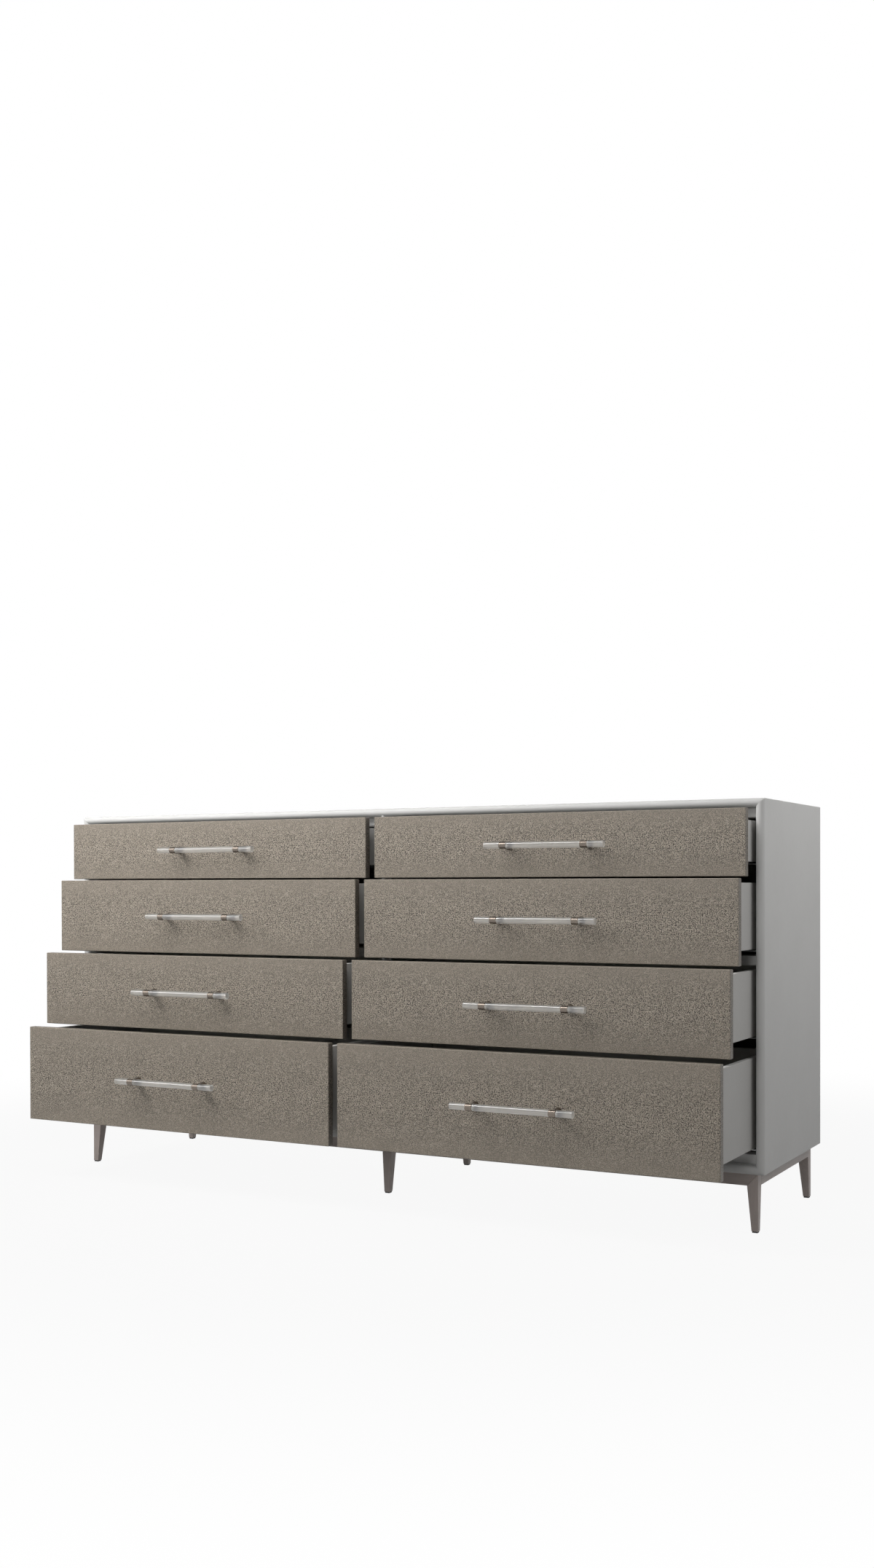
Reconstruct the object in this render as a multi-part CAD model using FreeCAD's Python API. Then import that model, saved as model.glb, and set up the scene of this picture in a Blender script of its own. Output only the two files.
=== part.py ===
import FreeCAD, Part
import os
from collections import namedtuple
from FreeCAD import Vector

# Eight-drawer double dresser on a metal base, in millimetres.
# The origin is on the floor at the middle back foot. X runs to the right, Y to the back and Z up.
# The drawers open towards -Y, and are drawn out by steps, each lower row further than the one above it.

# Case
case_width = 1829.0
case_depth = 457.0
overall_height = 908.0
base_height = 124.0
board = 19.0
divider_thickness = 19.0
bead_width = 10.0
bead_setback = 2.0
back_thickness = 9.0
back_inset = 5.0

# Front rails, recessed behind the drawer fronts
rail_height = 20.0
rail_depth = 60.0

# Drawer fronts: the fourth row takes the height that the other three leave
first_row_height = 141.0
second_row_height = 179.0
third_row_height = 179.0
row_gap = 3.5
end_gap = 3.0
side_reveal = 4.0
front_thickness = 19.0
front_recess = 5.0
front_edge_radius = 1.5
front_stop_gap = 1.0

# How far each drawer stands out of its closed place, from the top row down
left_drawn_out = (66.0, 113.0, 168.0, 229.0)
right_drawn_out = (57.0, 104.0, 159.0, 222.0)

# Drawer boxes
box_back_gap = 19.0
box_clearance = 7.0
box_side_thickness = 12.0
box_back_thickness = 12.0
inner_front_thickness = 14.0
box_bottom_thickness = 6.0
box_bottom_recess = 13.0
box_bottom_rise = 30.5
box_top_drop = 9.5
first_box_top_drop = 24.5

# Concealed slides: cabinet member, middle member and drawer runner
slide_back_gap = 16.0
slide_setback = 2.0
slide_metal = 1.5
slide_width = 24.0
slide_side_gap = 1.0
slide_running_gap = 0.4
slide_drop = 5.0
cabinet_flange_rise = 20.0
cabinet_lip_depth = 1.0
runner_lip_height = 8.0
middle_setback = 10.0
middle_end_gap = 16.0
middle_web = 3.0
clip_width = 18.0
clip_length = 45.0
clip_height = 9.0
clip_gap = 0.5

# Pulls
rod_length = 283.0
rod_radius = 7.5
post_spacing = 192.0
barrel_length = 16.0
barrel_proud = 0.4
pull_standoff = 28.0
post_shoulder = 0.9

# Metal base
base_inset = 18.0
base_rail_height = 26.0
leg_top = 24.0
leg_foot = 14.4
base_wall = 2.0
glide_margin = 1.2
glide_height = 3.0

# Planes that several pieces share
case_back = base_inset + leg_foot / 2
case_front = case_back - case_depth
inner_right = case_width / 2 - board
divider_face = divider_thickness / 2
floor_top = base_height + board
ceiling = overall_height - board
back_front = case_back - back_inset - back_thickness
closed_face = case_front + front_recess
box_front = closed_face + front_thickness
behind_fronts = box_front + front_stop_gap
base_rail_bottom = base_height - base_rail_height
base_right = case_width / 2 - base_inset
base_front = case_front + base_inset
base_back = case_back - base_inset
box_length = back_front - box_back_gap - box_front
slide_near = box_clearance + box_side_thickness + slide_side_gap
slide_far = slide_near + slide_width
barrel_radius = rod_radius + barrel_proud

COLUMNS = {"left": -1, "right": 1}
Drawer = namedtuple(
    "Drawer", "name side drawn_out x_low x_high z_low z_high box_low box_high box_z_low box_z_high"
)


def block(low, high):
    """A rectangular solid between two corners."""
    size = [b - a for a, b in zip(low, high)]
    return Part.makeBox(*size, Vector(*low))


def along_y(points, y_low, y_high):
    """A profile of (x, z) points, extruded from y_low to y_high."""
    corners = [Vector(x, y_low, z) for x, z in points]
    face = Part.Face(Part.makePolygon(corners + corners[:1]))
    return face.extrude(Vector(0, y_high - y_low, 0))


def mitred_board(length):
    """A board along X with its upper face at z = 0, a half-round front edge and 45 degree ends."""
    half = board / 2
    straight_front = case_front + half
    nose = Part.Arc(
        Vector(-length / 2, straight_front, -board),
        Vector(-length / 2, case_front, -half),
        Vector(-length / 2, straight_front, 0),
    ).toShape()
    rim = [
        Vector(-length / 2, straight_front, 0),
        Vector(-length / 2, case_back, 0),
        Vector(-length / 2, case_back, -board),
        Vector(-length / 2, straight_front, -board),
    ]
    edges = [Part.makeLine(a, b) for a, b in zip(rim, rim[1:])]
    section = Part.Face(Part.Wire([nose] + edges))
    blank = section.extrude(Vector(length, 0, 0))
    ends = [
        (-length / 2, 0),
        (length / 2, 0),
        (length / 2 - board, -board),
        (-length / 2 + board, -board),
    ]
    return blank.common(along_y(ends, case_front, case_back)).Solids[0]


def case_boards():
    """The top, bottom and two side boards, each a mitred board turned to its place."""
    case_height = overall_height - base_height
    mid_height = base_height + case_height / 2
    places = {
        "top_panel": (case_width, 0, Vector(0, 0, overall_height)),
        "right_side_panel": (case_height, 90, Vector(case_width / 2, 0, mid_height)),
        "bottom_panel": (case_width, 180, Vector(0, 0, base_height)),
        "left_side_panel": (case_height, 270, Vector(-case_width / 2, 0, mid_height)),
    }
    boards = {}
    for name, (length, turn, place) in places.items():
        shape = mitred_board(length)
        shape.rotate(Vector(0, 0, 0), Vector(0, 1, 0), turn)
        shape.translate(place)
        boards[name] = shape
    return boards


def centre_divider():
    """The upright board between the two columns of drawers."""
    return block((-divider_face, behind_fronts, floor_top), (divider_face, back_front, ceiling))


def centre_stile(top, bottom):
    """The beaded strip on the divider's front edge, coped to the top and bottom boards."""
    radius = bead_width / 2
    low = floor_top - board / 2
    high = ceiling + board / 2
    bead_centre = case_front + bead_setback + radius
    nose = Part.makeCylinder(radius, high - low, Vector(0, bead_centre, low))
    tongue = block((-radius, bead_centre, low), (radius, behind_fronts, high))
    return nose.fuse(tongue).cut(top).cut(bottom).removeSplitter().Solids[0]


def back_panel():
    """The thin back, set in between the four boards."""
    return block((-inner_right, back_front, floor_top), (inner_right, back_front + back_thickness, ceiling))


def front_rails(rows):
    """Rails in each column: under the top, over the third row and on the case floor."""
    lows = (ceiling - rail_height, rows[2][1], floor_top)
    rails = []
    for side in COLUMNS.values():
        for low in lows:
            x_low, x_high = sorted((side * divider_face, side * inner_right))
            rails.append(
                block((x_low, behind_fronts, low), (x_high, behind_fronts + rail_depth, low + rail_height))
            )
    return rails


def row_heights():
    """The (bottom, top) of each row of drawer fronts, from the top row down."""
    given = (first_row_height, second_row_height, third_row_height)
    high = ceiling - end_gap
    rows = []
    for height in given:
        rows.append((high - height, high))
        high = high - height - row_gap
    rows.append((floor_top + end_gap, high))
    return rows


def drawer_places(rows):
    """Every drawer's front and box limits, with how far it is drawn out."""
    drawn_out = {"left": left_drawn_out, "right": right_drawn_out}
    drawers = []
    for column, side in COLUMNS.items():
        front_x = sorted((side * (bead_width / 2 + side_reveal), side * (inner_right - side_reveal)))
        box_x = sorted((side * (divider_face + box_clearance), side * (inner_right - box_clearance)))
        for number, (low, high) in enumerate(rows, 1):
            drop = first_box_top_drop if number == 1 else box_top_drop
            out = drawn_out[column][number - 1]
            name = f"{column}_{number}"
            drawers.append(
                Drawer(name, side, out, *front_x, low, high, *box_x, low + box_bottom_rise, high - drop)
            )
    return drawers


def drawer_front(d):
    """The covered front, with a softened rim round its face."""
    y_low = closed_face - d.drawn_out
    shape = block((d.x_low, y_low, d.z_low), (d.x_high, y_low + front_thickness, d.z_high))
    rim = [edge for edge in shape.Edges if edge.BoundBox.YMax < y_low + front_edge_radius]
    return shape.makeFillet(front_edge_radius, rim)


def drawer_box(d):
    """Two sides, an inner front, a bottom raised over the slides and a back that stands on the bottom."""
    y_low = box_front - d.drawn_out
    y_high = y_low + box_length
    inside_low = d.box_low + box_side_thickness
    inside_high = d.box_high - box_side_thickness
    inside_front = y_low + inner_front_thickness
    bottom_low = d.box_z_low + box_bottom_recess
    bottom_high = bottom_low + box_bottom_thickness
    return [
        block((d.box_low, y_low, d.box_z_low), (inside_low, y_high, d.box_z_high)),
        block((inside_high, y_low, d.box_z_low), (d.box_high, y_high, d.box_z_high)),
        block((inside_low, y_low, d.box_z_low), (inside_high, inside_front, d.box_z_high)),
        block((inside_low, inside_front, bottom_low), (inside_high, y_high, bottom_high)),
        block(
            (inside_low, y_high - box_back_thickness, bottom_high),
            (inside_high, y_high, d.box_z_high),
        ),
    ]


def pull_centre(d):
    """The middle of the drawer front's outer face."""
    return Vector((d.x_low + d.x_high) / 2, closed_face - d.drawn_out, (d.z_low + d.z_high) / 2)


def pull_rod(d):
    """The clear rod: a middle length between the barrels, and a shorter one outside each."""
    centre = pull_centre(d)
    inner = post_spacing / 2 - barrel_length / 2
    outer = post_spacing / 2 + barrel_length / 2
    end = rod_length / 2
    lengths = []
    for low, high in ((-end, -outer), (-inner, inner), (outer, end)):
        start = centre + Vector(low, -pull_standoff, 0)
        lengths.append(Part.makeCylinder(rod_radius, high - low, start, Vector(1, 0, 0)))
    return lengths


def pull_posts(d):
    """A metal barrel on the rod's line at each end, on a round post from the drawer front."""
    centre = pull_centre(d)
    posts = []
    for x in (-post_spacing / 2, post_spacing / 2):
        axis = centre + Vector(x, -pull_standoff, 0)
        barrel_start = axis - Vector(barrel_length / 2, 0, 0)
        barrel = Part.makeCylinder(barrel_radius, barrel_length, barrel_start, Vector(1, 0, 0))
        post = Part.makeCylinder(barrel_radius - post_shoulder, pull_standoff, axis, Vector(0, 1, 0))
        posts.append(barrel.fuse(post).removeSplitter().Solids[0])
    return posts


def slide_walls(d):
    """The two walls beside a drawer, as (x of the wall, direction into the opening)."""
    return ((d.side * divider_face, d.side), (d.side * inner_right, -d.side))


def slide_section(points, d, wall, inward, y_low, y_high):
    """A slide member's (distance from the wall, height over the box's lower edge) profile along Y."""
    placed = [(wall + inward * u, d.box_z_low + w) for u, w in points]
    return along_y(placed, y_low, y_high)


def cabinet_members(d):
    """Fixed angle rails: a flange on the wall, and a lipped track that reaches under the drawer box."""
    floor = -slide_drop
    track = floor + slide_metal
    lip = -cabinet_lip_depth
    outline = [
        (0, floor),
        (slide_far, floor),
        (slide_far, lip),
        (slide_far - slide_metal, lip),
        (slide_far - slide_metal, track),
        (slide_near + slide_metal, track),
        (slide_near + slide_metal, lip),
        (slide_near, lip),
        (slide_near, track),
        (slide_metal, track),
        (slide_metal, cabinet_flange_rise),
        (0, cabinet_flange_rise),
    ]
    y_low = behind_fronts + slide_setback
    y_high = back_front - slide_back_gap
    return [slide_section(outline, d, wall, inward, y_low, y_high) for wall, inward in slide_walls(d)]


def middle_members(d):
    """The I-section members between cabinet member and runner, which travel half as far as the drawer."""
    low = -slide_drop + slide_metal + slide_running_gap
    high = box_bottom_recess - slide_metal - slide_running_gap
    near = slide_near + slide_metal + slide_running_gap
    far = slide_far - slide_metal - slide_running_gap
    web_near = (near + far - middle_web) / 2
    web_far = web_near + middle_web
    outline = [
        (near, low),
        (far, low),
        (far, low + slide_metal),
        (web_far, low + slide_metal),
        (web_far, high - slide_metal),
        (far, high - slide_metal),
        (far, high),
        (near, high),
        (near, high - slide_metal),
        (web_near, high - slide_metal),
        (web_near, low + slide_metal),
        (near, low + slide_metal),
    ]
    y_low = box_front + inner_front_thickness + middle_setback - d.drawn_out / 2
    y_high = box_front + box_length - middle_end_gap - d.drawn_out / 2
    return [slide_section(outline, d, wall, inward, y_low, y_high) for wall, inward in slide_walls(d)]


def drawer_runners(d):
    """Inverted channels under the drawer bottom, each with a locking clip at its front end."""
    top = box_bottom_recess
    lip = top - runner_lip_height
    outline = [
        (slide_near, lip),
        (slide_near, top),
        (slide_far, top),
        (slide_far, lip),
        (slide_far - slide_metal, lip),
        (slide_far - slide_metal, top - slide_metal),
        (slide_near + slide_metal, top - slide_metal),
        (slide_near + slide_metal, lip),
    ]
    clip_near = slide_far + clip_gap
    clip = [
        (clip_near, top - clip_height),
        (clip_near, top),
        (clip_near + clip_width, top),
        (clip_near + clip_width, top - clip_height),
    ]
    y_low = box_front + inner_front_thickness - d.drawn_out
    y_high = box_front + box_length - d.drawn_out
    solids = []
    for wall, inward in slide_walls(d):
        solids.append(slide_section(outline, d, wall, inward, y_low, y_high))
        solids.append(slide_section(clip, d, wall, inward, y_low, y_low + clip_length))
    return solids


def base_rails():
    """Tubular rails: long ones mitred to the corner legs, and side ones between them."""
    trapezoid = [
        (-base_right, base_height),
        (base_right, base_height),
        (base_right - leg_top, base_rail_bottom),
        (-base_right + leg_top, base_rail_bottom),
    ]
    hollow_right = base_right - leg_top - base_wall
    hollow_low = base_rail_bottom + base_wall
    hollow_high = base_height - base_wall
    rails = []
    for y_low in (base_front, base_back - leg_top):
        y_high = y_low + leg_top
        hollow = block(
            (-hollow_right, y_low + base_wall, hollow_low),
            (hollow_right, y_high - base_wall, hollow_high),
        )
        rails.append(along_y(trapezoid, y_low, y_high).cut(hollow))
    side_front = base_front + leg_top
    side_back = base_back - leg_top
    for side in COLUMNS.values():
        x_low, x_high = sorted((side * base_right, side * (base_right - leg_top)))
        tube = block((x_low, side_front, base_rail_bottom), (x_high, side_back, base_height))
        hollow = block(
            (x_low + base_wall, side_front + base_wall, hollow_low),
            (x_high - base_wall, side_back - base_wall, hollow_high),
        )
        rails.append(tube.cut(hollow))
    return rails


def tapered_leg(top, foot):
    """A leg between two (x low, x high, y low, y high) rectangles, from its glide up to the rail."""
    x_low, x_high, y_low, y_high = foot
    top_x_low, top_x_high, top_y_low, top_y_high = top
    lying = Part.makeWedge(
        x_low, glide_height, -y_high, -top_y_high, top_x_low,
        x_high, base_rail_bottom, -y_low, -top_y_low, top_x_high,
    )
    lying.rotate(Vector(0, 0, 0), Vector(1, 0, 0), 90)
    return lying


def leg_rectangles():
    """For all six legs: the head rectangle, the foot rectangle and the side that the leg stands on."""
    legs = []
    for front in (True, False):
        spans = []
        for size in (leg_top, leg_foot):
            spans.append((base_front, base_front + size) if front else (base_back - size, base_back))
        for side in (-1, 0, 1):
            rectangles = []
            for size, span in zip((leg_top, leg_foot), spans):
                if side == 0:
                    limits = (-size / 2, size / 2)
                else:
                    limits = sorted((side * base_right, side * (base_right - size)))
                rectangles.append((*limits, *span))
            legs.append((*rectangles, side))
    return legs


def legs():
    """Tapered legs: the corner ones carry a mitred head, the middle ones stand under the long rails."""
    solids = []
    for top, foot, side in leg_rectangles():
        leg = tapered_leg(top, foot)
        if side:
            head = [
                (side * base_right, base_rail_bottom),
                (side * base_right, base_height),
                (side * (base_right - leg_top), base_rail_bottom),
            ]
            leg = leg.fuse(along_y(head, top[2], top[3])).removeSplitter().Solids[0]
        solids.append(leg)
    return solids


def leg_glides():
    """Square pads under the legs."""
    pads = []
    for _, foot, _ in leg_rectangles():
        middle_x = (foot[0] + foot[1]) / 2
        middle_y = (foot[2] + foot[3]) / 2
        half = leg_foot / 2 - glide_margin
        pads.append(
            block((middle_x - half, middle_y - half, 0), (middle_x + half, middle_y + half, glide_height))
        )
    return pads


def build():
    """Every node of the dresser, as a list of solids by name."""
    rows = row_heights()
    drawers = drawer_places(rows)
    boards = case_boards()
    nodes = {name: [shape] for name, shape in boards.items()}
    nodes["centre_divider"] = [centre_divider()]
    nodes["centre_stile"] = [centre_stile(boards["top_panel"], boards["bottom_panel"])]
    nodes["back_panel"] = [back_panel()]
    nodes["front_rails"] = front_rails(rows)
    nodes["base_rails"] = base_rails()
    nodes["legs"] = legs()
    nodes["leg_glides"] = leg_glides()
    nodes["slide_cabinet_members"] = [solid for d in drawers for solid in cabinet_members(d)]
    for d in drawers:
        nodes[f"drawer_{d.name}_front"] = [drawer_front(d)]
        nodes[f"drawer_{d.name}_box"] = drawer_box(d)
        nodes[f"drawer_{d.name}_pull_rod"] = pull_rod(d)
        nodes[f"drawer_{d.name}_pull_posts"] = pull_posts(d)
        nodes[f"drawer_{d.name}_runners"] = drawer_runners(d)
        nodes[f"drawer_{d.name}_slide_middles"] = middle_members(d)
    return nodes


def export(nodes):
    """One STEP file per node."""
    os.makedirs("parts", exist_ok=True)
    for name, solids in nodes.items():
        shape = solids[0] if len(solids) == 1 else Part.makeCompound(solids)
        shape.exportStep(f"parts/{name}.step")


export(build())
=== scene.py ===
"""Looks of an eight-drawer double dresser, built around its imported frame. Lengths are in metres."""
import math

import bmesh
import bpy
from bpy.props import FloatProperty, FloatVectorProperty, PointerProperty
from mathutils import Matrix, Vector


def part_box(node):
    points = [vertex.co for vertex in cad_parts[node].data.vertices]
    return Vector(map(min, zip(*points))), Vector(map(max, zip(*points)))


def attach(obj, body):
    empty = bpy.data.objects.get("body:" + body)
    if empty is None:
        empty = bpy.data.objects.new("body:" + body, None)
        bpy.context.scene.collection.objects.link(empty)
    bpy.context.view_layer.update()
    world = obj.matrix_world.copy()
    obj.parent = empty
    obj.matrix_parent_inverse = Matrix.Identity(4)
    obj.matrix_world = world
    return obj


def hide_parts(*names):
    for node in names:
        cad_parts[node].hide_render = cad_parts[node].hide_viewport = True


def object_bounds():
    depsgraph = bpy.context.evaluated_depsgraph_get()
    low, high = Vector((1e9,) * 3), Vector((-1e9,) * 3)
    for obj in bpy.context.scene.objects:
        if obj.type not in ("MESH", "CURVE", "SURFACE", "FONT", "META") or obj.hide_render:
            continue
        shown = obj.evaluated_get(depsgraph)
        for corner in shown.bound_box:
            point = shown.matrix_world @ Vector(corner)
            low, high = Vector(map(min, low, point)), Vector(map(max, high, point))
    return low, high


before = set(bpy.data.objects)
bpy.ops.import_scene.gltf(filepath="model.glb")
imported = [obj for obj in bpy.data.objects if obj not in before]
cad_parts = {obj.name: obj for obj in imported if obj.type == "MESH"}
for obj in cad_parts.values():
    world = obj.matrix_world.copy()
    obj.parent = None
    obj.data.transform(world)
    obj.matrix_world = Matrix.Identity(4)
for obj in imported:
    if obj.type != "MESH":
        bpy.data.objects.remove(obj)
cad_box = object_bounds()

bl_info = {
    "name": "Double Dresser",
    "version": (1, 0, 0),
    "blender": (4, 5, 0),
    "location": "View3D > Sidebar > Dresser",
    "description": "Lacquered dresser with pebble-grained fronts, clear bar pulls and a slim metal base",
    "category": "Object",
}

DRAWERS = [f"{column}_{row}" for column in ("left", "right") for row in (1, 2, 3, 4)]
WHITE = (1.0, 1.0, 1.0, 1.0)
WELD = 1e-6

# Angles between faces that count as flat, as a corner and as a sharp edge
FLAT = math.radians(1)
CORNER = math.radians(20)
SHARP = math.radians(40)

# Steps round the curves
ROUND_STEPS = 48
NOSE_STEPS = 16
FLARE_STEPS = 10
SCREW_STEPS = 20
NODE_EDGE_STEPS = 2
EDGE_STEPS = 3
BROAD_EDGE_STEPS = 4


def length(name, description, default):
    """A length in metres that a user may change."""
    return FloatProperty(name=name, description=description, default=default, min=0.0, precision=5,
                         unit="LENGTH")


def share(name, description, default):
    """A share between none and all that a user may change."""
    return FloatProperty(name=name, description=description, default=default, min=0.0, max=1.0,
                         subtype="FACTOR")


def colour(name, description, default):
    """A colour that a user may change."""
    return FloatVectorProperty(name=name, description=description, default=default, min=0.0, max=1.0,
                               subtype="COLOR")


def power(name, description, default):
    """The power of a lamp in watts."""
    return FloatProperty(name=name, description=description, default=default, min=0.0, unit="POWER")


def place(name, description, default):
    """A point in the dresser's frame."""
    return FloatVectorProperty(name=name, description=description, default=default, subtype="TRANSLATION",
                               precision=5)


class DresserSizes(bpy.types.PropertyGroup):
    """Sizes of the details that the frame leaves open"""
    board: length("Case board", "Thickness of the case boards and twice the radius of their noses", 0.019)
    case_edge: length("Case edge", "Rounding of the outer edges of the case", 0.002)
    inner_edge: length("Inner edge", "Rounding of the divider, rails and back", 0.0008)
    metal_edge: length("Metal edge", "Rounding of the legs, and twice that of their glides", 0.0009)
    slide_edge: length("Slide edge", "Rounding of the rolled slide members", 0.0003)
    cover_edge: length("Covered edge", "Rounding of the covered drawer fronts", 0.0017)
    box_side: length("Box side", "Thickness of a drawer box side", 0.012)
    box_back: length("Box back", "Thickness of a drawer box back", 0.012)
    box_front: length("Box inner front", "Thickness of the board behind a drawer front", 0.014)
    box_bottom: length("Box bottom", "Thickness of a drawer bottom", 0.006)
    bottom_recess: length("Bottom recess", "Height of a drawer bottom above its box's lower edge", 0.013)
    box_edge: length("Box edge", "Rounding of the drawer boxes", 0.0012)
    barrel_length: length("Barrel length", "Length of a metal barrel on a pull", 0.016)
    barrel_edge: length("Barrel edge", "Rounding of a barrel's rims", 0.0007)
    rod_radius: length("Rod radius", "Radius of the clear rod", 0.0075)
    rod_edge: length("Rod edge", "Rounding of the ends of a clear rod", 0.0008)
    rod_gap: length("Rod gap", "Gap between a clear rod and a barrel", 0.00012)
    post_neck: length("Post neck", "Radius of a post where it meets its barrel", 0.0056)
    post_foot: length("Post foot", "Radius of a post's foot on the drawer front", 0.0092)
    foot_rim: length("Foot rim", "Height of the straight rim round a post's foot", 0.0014)
    flare_share: share("Flare", "Share of the foot's spread with which a post's flare starts", 0.8)
    flare_curve: FloatProperty(name="Flare curve", description="How quickly a post's flare narrows",
                               default=2.2, min=0.0)
    screw_radius: length("Screw head", "Radius of a screw head on the back", 0.0036)
    screw_height: length("Screw height", "Height of a screw head", 0.0011)
    screw_top_share: share("Screw top", "Top of a screw head as a share of its foot", 0.8)
    drive_wall_share: share("Drive wall", "Rim round a screw's drive as a share of its radius", 0.35)
    drive_depth_share: share("Drive depth", "Depth of a screw's drive as a share of its height", 0.6)
    screw_spacing: length("Screw spacing", "Largest gap between the screws of the back", 0.19)


class DresserGrain(bpy.types.PropertyGroup):
    """Sizes of the patterns in the finishes"""
    bead: length("Bead", "Pitch of the small beads of the cover", 0.0019)
    large_bead: length("Large bead", "Pitch of the beads near the middle of a front", 0.0026)
    pearl: length("Pearl", "Pitch of the pearls in the row along a front", 0.0054)
    pearl_stretch: length("Pearl stretch", "Length of the stretches where pearls show", 0.08)
    pearl_wander: length("Pearl wander", "How far a pearl strays along its row", 0.004)
    pearl_sway: length("Pearl sway", "How far the row of pearls strays up and down", 0.003)
    bead_relief: length("Bead relief", "Height of the beads", 0.0005)
    patch: length("Patch", "Size of the mottled patches of the cover", 0.011)
    cloud: length("Cloud", "Size of the broad clouds of the cover", 0.055)
    lacquer_cloud: length("Lacquer cloud", "Size of the clouds in the lacquer's colour", 0.16)
    lacquer_ripple: length("Lacquer ripple", "Size of the soft ripple in the lacquer", 0.006)
    lacquer_relief: length("Lacquer relief", "Height of the ripple in the lacquer", 0.00003)
    brush: length("Brush line", "Pitch of the brush lines on metal", 0.0007)
    brush_run: length("Brush run", "Length of the brush lines on metal", 0.09)
    brush_relief: length("Brush relief", "Depth of the brush lines", 0.00003)
    metal_cloud: length("Metal cloud", "Size of the clouds on brushed metal", 0.05)
    zinc_cloud: length("Zinc cloud", "Size of the clouds on zinc plating", 0.03)
    paint_cloud: length("Paint cloud", "Size of the clouds in the paint of the back", 0.09)
    paint_fibre: length("Paint fibre", "Size of the fibres under the paint of the back", 0.0025)
    paint_relief: length("Paint relief", "Height of the fibres under the paint of the back", 0.00008)
    rod_mark: length("Rod mark", "Size of the handling marks on the clear rods", 0.012)
    plastic_texture: length("Plastic texture", "Size of the texture on the glides", 0.0009)
    plastic_relief: length("Plastic relief", "Height of the texture on the glides", 0.00005)


class DresserColours(bpy.types.PropertyGroup):
    """Colours of the finishes"""
    lacquer: colour("Lacquer", "Satin silver-grey lacquer of the case and boxes", (0.595, 0.591, 0.578))
    # The boxes' lacquer is darker and warmer than the case's
    box: colour("Box lacquer", "Thinner grey lacquer of the drawer boxes", (0.48, 0.472, 0.455))
    # The bead crowns carry their own pearly tone and also a painted highlight; the valleys carry dye and
    # also painted shade between the beads
    crown: colour("Bead crown", "Polished tops of the beads", (0.435, 0.379, 0.308))
    valley: colour("Bead valley", "Dye between the beads", (0.03, 0.024, 0.018))
    acrylic: colour("Clear rod", "Tint of the clear rods", (0.92, 0.92, 0.91))
    rod_shade: colour("Rod shade", "Light that a clear rod lets through to what is behind it",
                      (0.86, 0.86, 0.85))
    nickel: colour("Pull metal", "Brushed nickel of the barrels and posts", (0.19, 0.161, 0.137))
    pewter: colour("Rail metal", "Brown pewter of the base rails, brushed lengthwise", (0.33, 0.284, 0.264))
    # Painted light: the legs' pewter is lighter than the rails' to stand in for the light their upright
    # brushing catches and for light that the drawers above keep from them
    leg_pewter_painted_lighter: colour("Leg metal", "The same pewter on the legs, which its upright brushing makes lighter",
                       (0.4, 0.346, 0.32))
    zinc: colour("Slide steel", "Zinc-plated steel of the slides and screws", (0.42, 0.425, 0.43))
    back: colour("Back board", "Grey paint of the back", (0.3, 0.295, 0.285))
    glide: colour("Glide", "Black plastic of the glides", (0.03, 0.03, 0.03))
    floor: colour("Floor", "Pale floor as the dresser sees it", (0.3, 0.3, 0.3))


class DresserStage(bpy.types.PropertyGroup):
    """Camera, lamps and floor"""
    camera: place("Camera", "Place of the camera", (1.82658, -3.54004, 0.73042))
    camera_turn: FloatVectorProperty(name="Camera turn", description="Turn of the camera",
                                     default=(1.562768, 0.00204, 0.495635), subtype="EULER", precision=5)
    lens: FloatProperty(name="Lens", description="Focal length", default=35.194, unit="CAMERA")
    rise_share: FloatProperty(name="Rise", description="Upward shift of the lens in shares of the long side",
                              default=0.0717, precision=4)
    key: place("Key lamp", "Place of the main lamp", (-1.6, -1.9, 2.1))
    key_power: power("Key power", "Power of the main lamp", 42.0)
    key_size: length("Key width", "Width of the main lamp", 0.6)
    key_height: length("Key height", "Height of the main lamp", 0.7)
    card_power: power("Card power", "Power of the card that gloss mirrors in place of the main lamp", 36.0)
    card_width: length("Card width", "Width of the card", 1.4)
    card_height: length("Card height", "Height of the card", 2.0)
    top: place("Top lamp", "Place of the lamp overhead", (-0.4, -1.5, 2.6))
    top_power: power("Top power", "Power of the lamp overhead", 33.0)
    top_size: length("Top length", "Length of the lamp overhead", 2.4)
    top_depth: length("Top depth", "Depth of the lamp overhead", 0.5)
    side: place("Side lamp", "Place of the lamp on the right", (2.0, -0.1, 1.7))
    side_power: power("Side power", "Power of the lamp on the right", 13.5)
    side_size: length("Side size", "Side of the lamp on the right", 1.2)
    fill: place("Fill lamp", "Place of the soft lamp in front", (1.0, -4.0, 1.5))
    fill_power: power("Fill power", "Power of the soft lamp in front", 26.0)
    fill_size: length("Fill size", "Side of the soft lamp in front", 1.2)
    back: place("Back lamp", "Place of the broad lamp behind", (-0.4, 3.2, 1.8))
    back_power: power("Back power", "Power of the broad lamp behind", 55.0)
    back_size: length("Back size", "Side of the broad lamp behind", 2.4)
    sky: share("Sky", "Strength of the even light from all round", 0.03)
    ceiling: share("Ceiling", "How light the ceiling is in what metal and glass mirror", 0.25)
    ceiling_start_share: share("Ceiling start", "Upward share of a direction where it starts", 0.35)
    ceiling_whole_share: share("Ceiling whole", "Upward share of a direction where it is whole", 0.8)
    floor_reach: length("Floor reach", "Distance from the middle to the edge of the floor", 30.0)
    floor_gap: length("Floor gap", "Gap between the feet and the floor", 0.0005)
    shadow_share: share("Shadow", "Share of the floor's shadow that the camera sees", 0.07)
    shadow_near: length("Shadow near", "Distance up to which the shadow is whole", 1.2)
    shadow_far: length("Shadow far", "Distance at which the shadow has gone", 2.6)


def settings():
    """The dresser's property groups on the scene."""
    return bpy.context.scene.dresser


# Nodes and shared effects

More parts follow.
